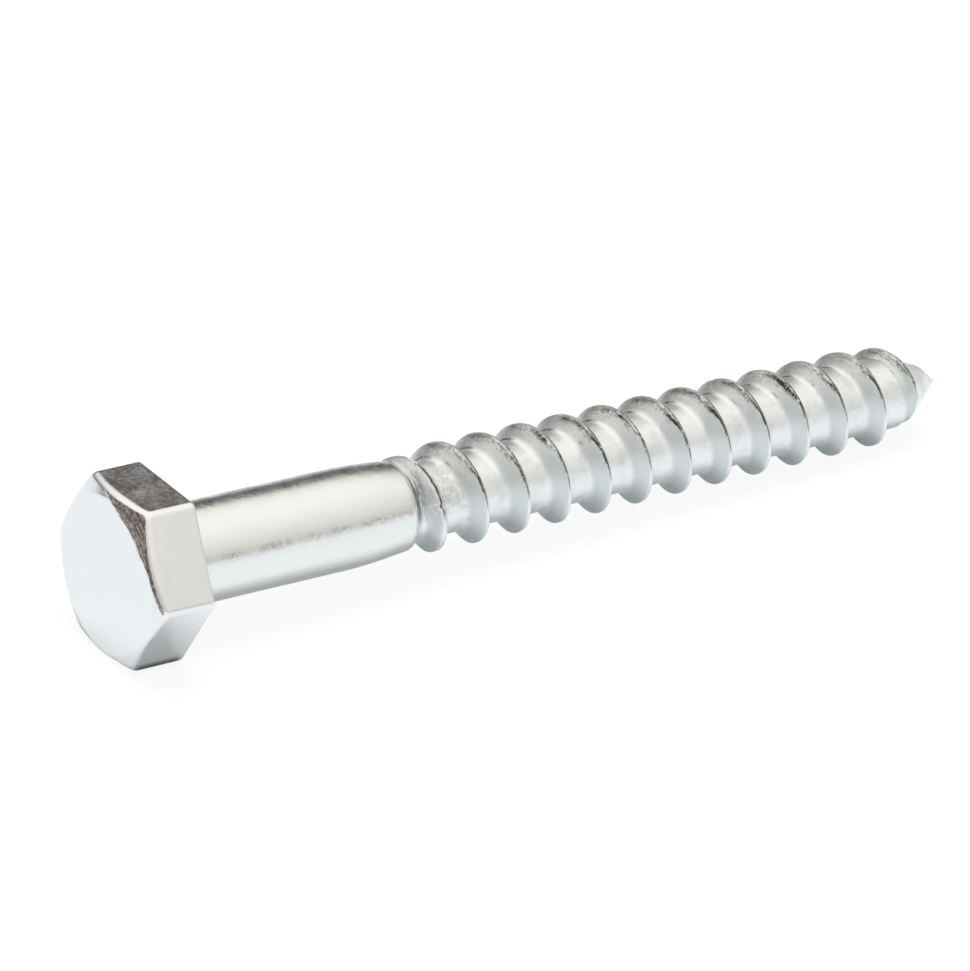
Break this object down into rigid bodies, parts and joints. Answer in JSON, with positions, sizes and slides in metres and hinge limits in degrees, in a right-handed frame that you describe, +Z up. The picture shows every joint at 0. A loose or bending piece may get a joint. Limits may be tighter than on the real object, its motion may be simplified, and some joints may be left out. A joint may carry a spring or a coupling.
{
  "type": "lag screw",
  "caption": "Hex-head lag screw for wood: plain shank under a chamfered hexagon head, coarse right-hand thread and a cone point.",
  "frame": {"origin": "on the floor, under the centre of the box around the screw as it lies at rest", "axes": "+X along the screw from the head towards the point, dropping 2.25 degrees as it lies; +Z up; +Y to the left seen from the head. One flat of the head faces up and one down."},
  "size_m": [0.0754, 0.0146, 0.0129],
  "materials": {
    "zinc_plated_steel": "bright zinc plating over forged and rolled steel, finely mottled, smooth but not polished"
  },
  "bodies": {
    "root": {"lag_screw": "zinc_plated_steel"}
  },
  "joints": []
}
